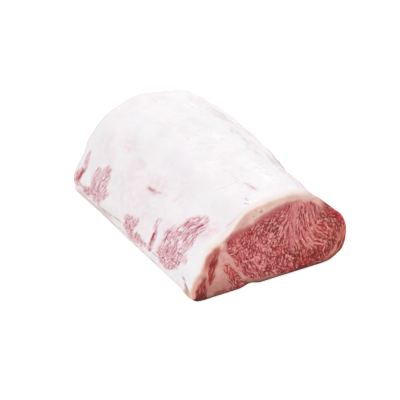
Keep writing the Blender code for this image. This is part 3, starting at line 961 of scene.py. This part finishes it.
def dress_fat(obj):
    place = Place(obj)
    x, y, z = place.p.T
    cut, deep, under, front = place.cut, place.deep, place.under, place.front
    across, red, tan, _ = skin_lines(place.skin)
    gap = gap_to(place, *LEANS)
    by_eye, by_flank, by_skirt = (gap_to(place, n) for n in ("eye_muscle", "flank_muscle", "skirt_muscle"))
    pillow(obj, place, gap, 0.0, 0.08)
    tail = fade(x, 46, 66) * np.maximum(ease(deep, 3, 9), ease(under, 0.2, 0.7))
    side = np.maximum(place.turned, (0.8 - 0.4 * ease(z, 30, 60)) * fade(y, 0.5, 11.0))
    side = side * front * fade(x, 30, 46) * fade(deep, 6.5, 11.0) * fade(under, 0.1, 0.6)
    beside = np.minimum(by_flank - 2.0 * bell(z, 38, 9), by_skirt + 4.5 * ease(z, 22, 40))
    over_eye = cut * fade(deep, 16, 20) * ease(x, 28, 38) * fade(x, 118, 130) * ease(z, 50, 60)
    strip = ease(x, 15, 21) * fade(x, 38, 46) * fade(z + 1.2 * wavering(place.flat, (2, 1.5), 47, 12.0), 5.5, 8.5)
    between = fade(by_flank, 0.5, 5.0) * fade(by_skirt, 0.5, 5.0)
    foot_side = fade(x, 12, 22) * ease(z, 10, 20)
    torn_to = 4.5 + 2.5 * ease(x, 56, 96) + 2.5 * ease(x, 100, 125)
    # lip: the flap by the board at the front, partly its own tan and partly painted contact shade; back_lip the same at
    # the back
    lip = fade(lens(place.skin, (436.0, 8.5), (4.5, 10.0), 28), -2.0, 1.5)
    back_lip = fade(lens(place.skin, (427, 248), (7, 13), 0), -4.0, 1.5)
    mark(
        obj,
        cut=cut,
        skin_place=place.on_skin(),
        # foot: painted contact shade where the cut stands on the board
        foot=place.contact_shade,
        thin_fat=thin_fat(place.skin) * (1 - cut),
        red_fat=ease(place.round, 396, 414),
        blush=patchy(place.skin, BLUSHES),
        glaze=patchy(place.skin, GLOSS_AND_SHEEN),
        # grey: patches painted grey as shade
        grey=patchy(place.skin, SHADE_PATCHES),
        wrinkled=patchy(place.skin, WRINKLED),
        line=together(across, red, tan),
        flank_side=ease(z + 2.0 * wavering(place.flat, (5, 5), 52), 31.0, 47.0),
        warm=side * fade(beside, 0.5, 8.5) * (1 - 0.8 * ease(z, 58, 70)),
        feather=bareness(place),
        rose=over_eye * fade(by_eye, 0.3, 4.6),
        foot_strip=strip * cut * front,
        bloody=np.maximum(0.5 * fade(gap, 0.1, 1.6) * (1 - foot_side), 0.85 * between * fade(z, 22, 34)) * cut,
        flesh=np.maximum(0.75 * fade(gap, 1.0, 6.0) * ease(deep, 1.5, 6), 0.95 * tail),
        seam=ease(x, 138, 150) * ease(deep, 1.0, 3.0) * cut,
        edge=fade(deep, 0.5, torn_to) * fade(under, 0.1, 0.6) * (1 - 0.6 * ease(x, 122, 138)),
        near_cut=fade(np.minimum(place.along, LENGTH - place.along), 2.0, 8.0) * np.where(front, 1.0, 0.4),
        lip=np.maximum(lip, 0.5 * back_lip),
        fold=np.where(front, fade(abs(off_line(place.flat, FOLD_SHADE_LINE)), 0.2, 1.8), 0),
        speck=np.maximum(dots(place.flat, CUT_SPECKS) * front * cut, dots(place.skin, SKIN_SPECKS) * (1 - cut)),
        # the tail fat painted darker towards the board: painted shade
        low_tail=0.95 * fade(z, 8.0, 36.0) * fade(x, 40, 60) * cut,
        suet=ease(-z, -15, -11) * ease(x, 44, 58) * fade(x, 116, 130) * cut,
        layers=ease(layers(place), -1.0, 1.0),
    )


# ---------------------------------------------------------------- materials


def linear(rgb):
    c = np.array(rgb, float) / 255
    return tuple(np.where(c <= 0.04045, c / 12.92, ((c + 0.055) / 1.055) ** 2.4)) + (1.0,)


class Paint:
    """Lays out the nodes of one material or group."""

    def __init__(self, tree):
        self.tree = tree

    def add(self, kind, inputs=(), **settings):
        node = self.tree.nodes.new(kind)
        for k, v in settings.items():
            setattr(node, k, v)
        for k, v in dict(inputs).items():
            self.put(node.inputs[k], v)
        return node

    def put(self, socket, value):
        if isinstance(value, bpy.types.NodeSocket):
            self.tree.links.new(value, socket)
        else:
            socket.default_value = value

    def read(self, name, output="Fac"):
        """A stored mark."""
        return self.add("ShaderNodeAttribute", attribute_name=name).outputs[output]

    def maths(self, operation, a, b=0.0, clamp=False):
        return self.add("ShaderNodeMath", {0: a, 1: b}, operation=operation, use_clamp=clamp).outputs[0]

    def times(self, a, b, clamp=False):
        return self.maths("MULTIPLY", a, b, clamp)

    def plus(self, a, b):
        return self.maths("ADD", a, b)

    def less(self, a, b):
        return self.maths("SUBTRACT", a, b)

    def about(self, value, strength, middle=0.5):
        """A noise as a swing about nought."""
        return self.times(self.less(value, middle), strength)

    def ramp(self, value, low, high, to_low=0.0, to_high=1.0):
        inputs = {"Value": value, "From Min": low, "From Max": high, "To Min": to_low, "To Max": to_high}
        return self.add("ShaderNodeMapRange", inputs, interpolation_type="SMOOTHSTEP").outputs["Result"]

    def mix(self, factor, a, b):
        node = self.add("ShaderNodeMix", {0: factor}, data_type="RGBA", blend_type="MIX")
        for slot, colour in ((6, a), (7, b)):
            self.put(node.inputs[slot], linear(colour) if isinstance(colour, tuple) else colour)
        return node.outputs[2]

    def coat(self, under, name, over, strength=1.0):
        """Lays one colour over another where a stored mark says so."""
        share = self.read(name)
        return self.mix(share if strength == 1.0 else self.times(share, strength), under, over)

    def blend(self, factor, a, b):
        return self.add("ShaderNodeMix", {0: factor, 2: a, 3: b}, data_type="FLOAT").outputs[0]

    def noise(self, vector, scale, detail=2.0, rough=0.5, distortion=0.0):
        inputs = {"Vector": vector, "Scale": scale, "Detail": detail, "Roughness": rough, "Distortion": distortion}
        return self.add("ShaderNodeTexNoise", inputs).outputs["Fac"]

    def lump(self, scale, detail=2.0, rough=0.5):
        """A noise through the meat itself."""
        return self.noise(self.add("ShaderNodeTexCoord").outputs["Object"], scale, detail, rough)

    def strands(self, vector, size, turn, detail, rough=0.5, distortion=0.0):
        """A noise whose grain is size metres, its first axis turned by so many degrees."""
        inputs = {"Vector": vector, "Scale": size, "Rotation": (0, 0, math.radians(turn))}
        place = self.add("ShaderNodeMapping", inputs, vector_type="TEXTURE").outputs[0]
        return self.noise(place, 1.0, detail, rough, distortion)

    def group(self, tree, **inputs):
        return self.add("ShaderNodeGroup", inputs, node_tree=tree).outputs[0]

    def show(self, inputs):
        shader = self.add("ShaderNodeBsdfPrincipled", inputs).outputs[0]
        self.add("ShaderNodeOutputMaterial", {"Surface": shader})


def new_group(name, inputs, output):
    tree = bpy.data.node_groups.new(name, "ShaderNodeTree")
    for title in inputs:
        tree.interface.new_socket(name=title, in_out="INPUT", socket_type="NodeSocketFloat")
    tree.interface.new_socket(name=output, in_out="OUTPUT", socket_type="NodeSocketFloat")
    paint = Paint(tree)
    return tree, paint, paint.add("NodeGroupInput").outputs, paint.add("NodeGroupOutput").inputs[0]


def flecks_group():
    """Turns the stored field into crisp flecks of fat."""
    tree, p, into, out = new_group("fat_flecks", ("Field", "Grain", "Low", "High"), "Fat")
    field = p.plus(into["Field"], p.about(p.lump(1100.0), into["Grain"]))
    p.put(out, p.ramp(field, into["Low"], into["High"]))
    return tree


def unevenness_group():
    """Small soft bumps of raw meat and fat."""
    tree, p, into, out = new_group("raw_unevenness", ("Size",), "Height")
    broad = p.lump(p.maths("DIVIDE", 1.0, into["Size"]))
    fine = p.lump(p.maths("DIVIDE", 4.0, into["Size"]), 1.0)
    p.put(out, p.plus(broad, p.times(fine, 0.25)))
    return tree


def finish_material(p, colour, roughness, height, bump, scatter, radius, depth, **settings):
    bumps = p.add("ShaderNodeBump", {"Height": height, "Strength": 1.0, "Distance": bump})
    p.show({
        "Base Color": colour, "Roughness": roughness, "Normal": bumps.outputs[0],
        "Subsurface Weight": scatter, "Subsurface Radius": radius, "Subsurface Scale": depth, **settings,
    })


def new_material(name):
    material = bpy.data.materials.new(name)
    material.use_nodes = True
    material.node_tree.nodes.clear()
    return material, Paint(material.node_tree)


def skin_of_fat(p, skin):
    """The outer fat: its colour, how creased it is, its wrinkles, and where the lean shows through."""
    mottle = p.lump(38.0, 3.0)
    wrinkles = p.strands(skin, (0.017, 0.0024, 1.0), 28.0, 3.0, 0.6, 0.5)
    patches = p.noise(skin, 130.0, 4.0, 0.6)
    white = p.mix(p.ramp(mottle, 0.35, 0.7), (252, 248, 250), (247, 242, 245))
    creased = p.times(p.read("wrinkled"), p.ramp(patches, 0.4, 0.6, 0.15, 1.0))
    # the wrinkles painted darker: painted shade of the fine folds, besides their bump
    white = p.mix(p.times(creased, p.ramp(wrinkles, 0.46, 0.7, 0.0, 0.6)), white, (239, 233, 238))
    greying = p.strands(skin, (0.006, 0.014, 1.0), 12.0, 3.0, 0.6)
    for name, share, tint in (
        ("blush", p.ramp(patches, 0.3, 0.68, 0.1, 1.0), (240, 211, 219)),
        # grey: painted shade in streaky patches
        ("grey", p.ramp(greying, 0.38, 0.62), (216, 208, 214)),
        # painted sheen: a near-white tint over the glossy patches
        ("glaze", p.ramp(patches, 0.44, 0.5), (255, 254, 255)),
        ("near_cut", 0.8, (243, 232, 226)),
    ):
        white = p.coat(white, name, tint, share)
    thin, low = p.read("thin_fat"), p.read("red_fat")
    across = p.strands(skin, (0.022, 0.0034, 1.0), 15.0, 1.0, 0.5, 0.4)
    strand = p.ramp(p.maths("ABSOLUTE", p.less(across, 0.5)), 0.008, 0.042, 1.0, 0.0)
    threads = p.strands(skin, (0.010, 0.0019, 1.0), 18.0, 2.0, 0.6, 0.3)
    stipple = p.noise(skin, 330.0, 2.0, 0.6)
    thread = p.ramp(p.blend(p.times(low, 0.7), threads, stipple), 0.46, 0.58)
    glints = p.blend(low, p.strands(skin, (0.009, 0.0018, 1.0), 16.0, 1.0), p.noise(skin, 430.0, 1.0))
    torn_strands = p.times(strand, p.ramp(mottle, 0.3, 0.7, 0.4, 1.0))
    wide = p.times(thin, p.blend(p.times(low, 0.6), torn_strands, p.ramp(stipple, 0.56, 0.66)))
    colour = white
    for share, high_tint, low_tint in (
        (p.times(thin, p.ramp(low, 0.0, 1.0, 0.8, 0.95)), (244, 214, 222), (238, 196, 203)),
        (p.times(p.times(thin, thread), 0.85), (222, 148, 165), (206, 112, 126)),
        (wide, (196, 84, 108), (172, 46, 62)),
    ):
        colour = p.mix(share, colour, p.mix(low, high_tint, low_tint))
    # painted glints: near-white highlights flecked over the thin-fat patches
    colour = p.mix(p.times(p.times(thin, p.ramp(glints, 0.55, 0.65)), 0.95), colour, (254, 248, 250))
    lines = p.add("ShaderNodeSeparateXYZ", {0: p.read("line", "Vector")}).outputs
    wobble = p.about(p.noise(skin, 420.0), 1.8)
    breaks = p.ramp(p.noise(skin, 90.0, 2.0), 0.38, 0.6)
    on_line = p.ramp(p.maths("ABSOLUTE", p.plus(lines[0], wobble)), 0.2, 1.5, 1.0, 0.0)
    for share, least, tint in ((lines[1], 0.6, (190, 56, 82)), (lines[2], 0.15, (200, 158, 138))):
        broken = p.times(share, p.ramp(breaks, 0.0, 1.0, least, 1.0))
        colour = p.mix(p.times(on_line, broken, clamp=True), colour, tint)
    # the lip flap's tan, partly painted contact shade
    colour = p.coat(colour, "lip", (218, 166, 140), 0.9)
    thinned = p.plus(p.read("feather"), p.about(p.noise(skin, 140.0, 3.0, 0.6), 0.8))
    colour = p.coat(colour, "feather", (232, 202, 208), p.ramp(thinned, 0.3, 1.1, 0.0, 0.8))
    return colour, creased, wrinkles, wide


def sliced_fat(p, grain):
    """The fat where it's cut: cream by the skin, flesh pink in the tail, with the creases and seams of the cut."""
    cream = p.mix(p.ramp(p.lump(70.0), 0.35, 0.65), (231, 201, 187), (219, 184, 172))
    cream = p.mix(p.times(grain, 0.35), cream, (218, 174, 158))
    crumbly = p.lump(380.0, 3.0, 0.6)
    cream = p.mix(p.ramp(crumbly, 0.4, 0.68, 0.0, 0.45), cream, (204, 156, 138))
    flesh = p.mix(grain, (219, 157, 151), (202, 134, 128))
    flesh = p.mix(p.ramp(p.lump(55.0, 3.0, 0.6), 0.5, 0.72, 0.0, 0.5), flesh, (228, 182, 170))
    # painted shade: the tail fat darker and browner towards the board
    flesh = p.coat(flesh, "low_tail", p.mix(grain, (186, 120, 106), (170, 104, 92)))
    sliced = p.coat(cream, "flesh", flesh)
    torn = p.plus(p.read("edge"), p.about(crumbly, 0.7))
    sliced = p.mix(p.ramp(torn, -0.15, 1.15, 0.0, 0.88), sliced, (249, 239, 234))
    for name, strength, tint in (
        # painted shade along the crease between the outer and inner cover fat
        ("fold", 0.6, (186, 132, 122)),
        ("suet", 0.9, p.mix(grain, (184, 134, 112), (160, 102, 84))),
        ("seam", 1.0, p.mix(p.read("layers"), (188, 86, 74), (220, 146, 128))),
        ("rose", 0.9, (188, 108, 108)),
        ("foot_strip", 0.9, p.mix(grain, (172, 82, 70), (138, 60, 52))),
        ("bloody", 0.8, (192, 102, 92)),
    ):
        sliced = p.coat(sliced, name, tint, strength)
    return sliced


def fat_material(unevenness):
    material, p = new_material("beef_fat")
    grain = p.ramp(p.lump(150.0, 4.0, 0.6), 0.3, 0.7)
    colour, creased, wrinkles, wide = skin_of_fat(p, p.read("skin_place", "Vector"))
    colour = p.coat(colour, "cut", sliced_fat(p, grain))
    warm = p.plus(p.read("warm"), p.about(grain, 0.14))
    flank_side = p.mix(p.read("flank_side"), (226, 166, 152), (192, 106, 98))
    flank_side = p.mix(p.ramp(warm, 0.3, 0.85), (241, 208, 195), flank_side)
    colour = p.mix(p.ramp(warm, 0.08, 0.5), colour, flank_side)
    colour = p.coat(colour, "speck", (104, 66, 60), 0.8)
    # painted contact shade: the cut's foot darkened to a near-black brown
    colour = p.coat(colour, "foot", (84, 34, 28), 0.95)
    rough = p.less(p.ramp(p.lump(60.0), 0.3, 0.7, 0.38, 0.52), p.times(p.read("glaze"), 0.16))
    height = p.plus(p.group(unevenness, Size=0.006), p.times(wrinkles, p.times(creased, 1.3)))
    height = p.less(height, p.times(wide, 0.6))
    finish_material(p, colour, rough, height, 0.0006, 0.3, (1.0, 0.55, 0.45), 0.003, IOR=1.4)
    return material


def lean_material(name, groups, tints, low, high):
    flecks, unevenness = groups
    dark, red, pale, pink, border, tip = tints
    material, p = new_material(name)
    lean = p.mix(p.read("redness"), dark, red)
    lean = p.coat(lean, "brown", p.mix(p.read("redness"), (134, 34, 26), (205, 67, 51)))
    fat = p.mix(p.ramp(p.lump(420.0), 0.35, 0.65), pale, pink)
    fat = p.coat(fat, "brown", (208, 124, 104), 0.65)
    drawn = p.strands(p.read("streak_place", "Vector"), (0.010, 0.0012, 0.02), 0.0, 2.0, 0.6, 0.3)
    drawn = p.about(drawn, p.times(p.read("streaked"), 13.0), 0.48)
    streaks = p.group(flecks, Field=p.plus(p.read("fat_field"), drawn), Grain=0.5, Low=low, High=high)
    sliced = p.coat(p.mix(streaks, lean, fat), "milky", (186, 109, 109))
    sliced = p.coat(sliced, "tip", tip)
    skin = p.read("skin_place", "Vector")
    fibres = p.strands(skin, (0.0024, 0.017, 1.0), 0.0, 3.0)
    strands = p.strands(skin, (0.0011, 0.02, 1.0), 4.0, 3.0, 0.6, 0.4)
    side = p.mix(p.ramp(strands, 0.36, 0.66), p.mix(0.5, lean, dark), p.mix(0.4, lean, fat))
    side = p.coat(side, "film", (216, 178, 182), p.ramp(fibres, 0.35, 0.65))
    side = p.coat(side, "cover", (238, 226, 230), p.ramp(fibres, 0.25, 0.6, 0.7, 1.0))
    side = p.coat(side, "tip", (232, 190, 184))
    colour = p.coat(side, "cut", sliced)
    colour = p.coat(colour, "border", border, p.less(1.0, p.read("tip")))
    colour = p.coat(colour, "wet", (240, 62, 76), 0.85)
    # painted contact shade: the cut's foot darkened almost to black
    colour = p.coat(colour, "foot", (60, 15, 13), 0.88)
    rough = p.less(p.ramp(p.lump(200.0), 0.3, 0.7, 0.34, 0.5), p.times(p.read("wet"), 0.15))
    height = p.plus(p.group(unevenness, Size=0.004), p.times(streaks, 0.35))
    reflection = {"IOR": 1.33, "Specular IOR Level": 0.35}
    finish_material(p, colour, rough, height, 0.0004, 0.1, (1.0, 0.35, 0.3), 0.001, **reflection)
    return material


MARBLED = ((124, 25, 32), (178, 57, 63), (206, 118, 117), (238, 166, 160), (216, 138, 132), (227, 183, 168))
PLAIN = ((112, 20, 26), (168, 52, 52), (196, 110, 104), (216, 142, 130), (214, 142, 126), (234, 198, 182))


SLOTS = {"fat_cap": "beef_fat", "eye_muscle": "marbled_lean", "tail_muscle": "marbled_lean"}


def main():
    groups = flecks_group(), unevenness_group()
    paints = {
        "beef_fat": fat_material(groups[1]),
        "marbled_lean": lean_material("marbled_lean", groups, MARBLED, -1.12, 1.52),
        "plain_lean": lean_material("plain_lean", groups, PLAIN, -0.75, 1.8),
    }
    for name, obj in pieces.items():
        if name == "fat_cap":
            dress_fat(obj)
        else:
            dress_lean(obj, name)
        slot, mesh = SLOTS.get(name, "plain_lean"), obj.data
        mesh.materials.clear()
        mesh.materials.append(paints[slot])
        mesh.polygons.foreach_set("material_index", np.zeros(len(mesh.polygons), dtype=np.int32))
        mesh.shade_smooth()
        mesh.set_sharp_from_angle(angle=math.radians(SHARP))
        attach(obj, "root")
        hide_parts(name)


def lay_stage():
    scene = bpy.context.scene
    bm = bmesh.new()
    bmesh.ops.create_grid(bm, x_segments=1, y_segments=1, size=6.0)
    mesh = bpy.data.meshes.new("floor")
    bm.to_mesh(mesh)
    bm.free()
    floor = bpy.data.objects.new("floor", mesh)
    floor.location.z = -UNDER
    scene.collection.objects.link(floor)
    material, p = new_material("pale_floor")
    seen = p.add("ShaderNodeLightPath").outputs["Is Camera Ray"]
    p.show({
        "Base Color": (0.78, 0.78, 0.78, 1), "Roughness": 0.9, "Specular IOR Level": 0.1,
        "Emission Color": (1, 1, 1, 1), "Emission Strength": p.ramp(seen, 0.0, 1.0, 0.12, 0.6),
    })
    mesh.materials.append(material)
    world = bpy.data.worlds.new("studio")
    scene.world = world
    world.use_nodes = True
    background = world.node_tree.nodes["Background"].inputs
    background["Color"].default_value = (1, 1, 1, 1)
    background["Strength"].default_value = 0.73
    for name, place, size, power in (
        ("overhead_softbox", (0.9, 0.45, 1.5), 1.6, 9.5),
        ("flank_softbox", (-1.6, -0.6, 1.0), 1.4, 4.0),
        ("front_softbox", (-0.4, -1.7, 0.42), 1.2, 5.5),
    ):
        light = bpy.data.lights.new(name, "AREA")
        light.shape, light.size, light.energy = "SQUARE", size, power
        lamp = bpy.data.objects.new(name, light)
        lamp.location = place
        lamp.rotation_euler = (Vector((0, 0, 0.05)) - Vector(place)).to_track_quat("-Z", "Y").to_euler()
        scene.collection.objects.link(lamp)
    scene.view_settings.view_transform = "Standard"
    scene.view_settings.look = "None"


def set_camera():
    """The photograph's view: 32 degrees above the board, 28.3 degrees to the flank side of the front cut."""
    turn, rise, away = math.radians(-28.3), math.radians(32.0), 1.63
    back_way = Vector((math.sin(turn) * math.cos(rise), -math.cos(turn) * math.cos(rise), math.sin(rise)))
    target = Vector((-0.052377, -0.080785, 0.093845))
    camera = bpy.data.cameras.new("camera")
    camera.lens, camera.sensor_width = 135.0, 36.0
    camera.clip_end = 20.0
    holder = bpy.data.objects.new("camera", camera)
    holder.location = target + back_way * away
    holder.rotation_mode = "QUATERNION"
    holder.rotation_quaternion = (-back_way).to_track_quat("-Z", "Y")
    bpy.context.scene.collection.objects.link(holder)
    bpy.context.scene.camera = holder


main()
lay_stage()
set_camera()
